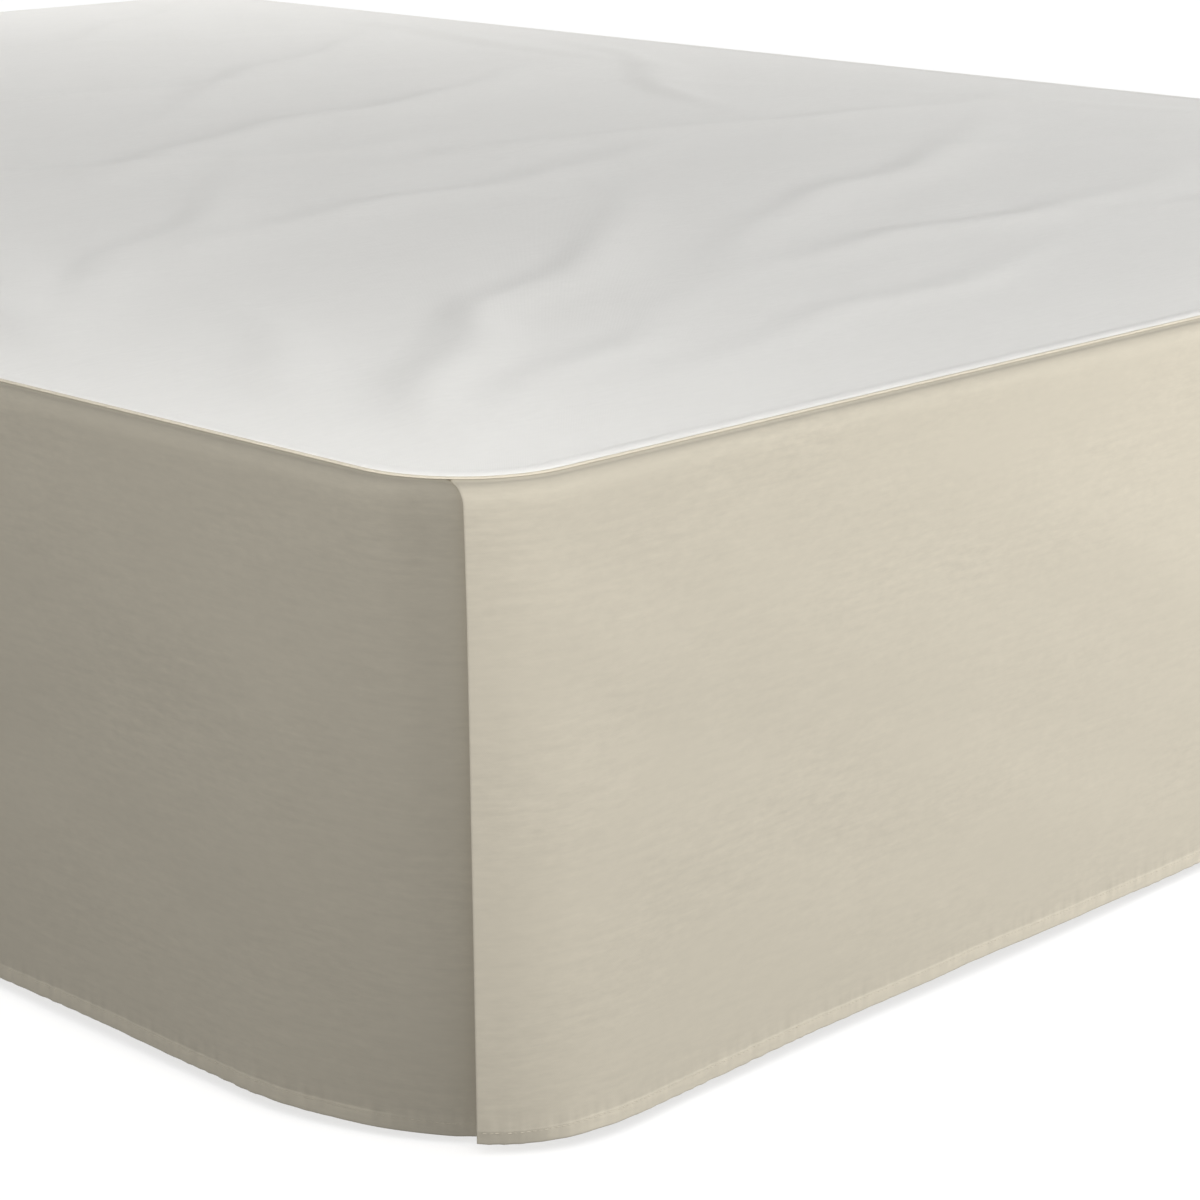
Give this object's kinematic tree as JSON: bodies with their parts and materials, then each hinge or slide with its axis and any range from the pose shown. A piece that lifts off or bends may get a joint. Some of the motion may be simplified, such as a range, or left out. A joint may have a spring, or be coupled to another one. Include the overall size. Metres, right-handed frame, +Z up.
{
  "type": "tailored bed skirt on a box spring and bed frame",
  "caption": "Tailored bed skirt with split corners and hemmed drops, its flat deck on a plain box spring over a low steel bed frame; open at the head end.",
  "frame": {"origin": "on the floor under the middle of the bed", "axes": "+Z up, X across the bed, the foot of the bed faces -Y and its open head end +Y"},
  "size_m": [1.5344, 2.0371, 0.3569],
  "materials": {
    "skirt_cloth": "matte beige percale, plain weave with fine crosswise slubs",
    "deck_cloth": "matte off-white plain weave",
    "base_ticking": "matte off-white woven ticking",
    "frame_steel": "dark powder coat",
    "glide_plastic": "moulded black plastic"
  },
  "bodies": {
    "root": {"deck": "deck_cloth", "foot_drop": "skirt_cloth", "side_drop_left": "skirt_cloth", "side_drop_right": "skirt_cloth", "box_spring": "base_ticking", "side_rail_left": "frame_steel", "side_rail_right": "frame_steel", "end_rail_foot": "frame_steel", "end_rail_head": "frame_steel", "centre_rail": "frame_steel", "leg_foot_left": "frame_steel", "leg_foot_right": "frame_steel", "leg_head_left": "frame_steel", "leg_head_right": "frame_steel", "leg_centre_foot": "frame_steel", "leg_centre_head": "frame_steel", "glide_foot_left": "glide_plastic", "glide_foot_right": "glide_plastic", "glide_head_left": "glide_plastic", "glide_head_right": "glide_plastic", "glide_centre_foot": "glide_plastic", "glide_centre_head": "glide_plastic"}
  },
  "joints": []
}
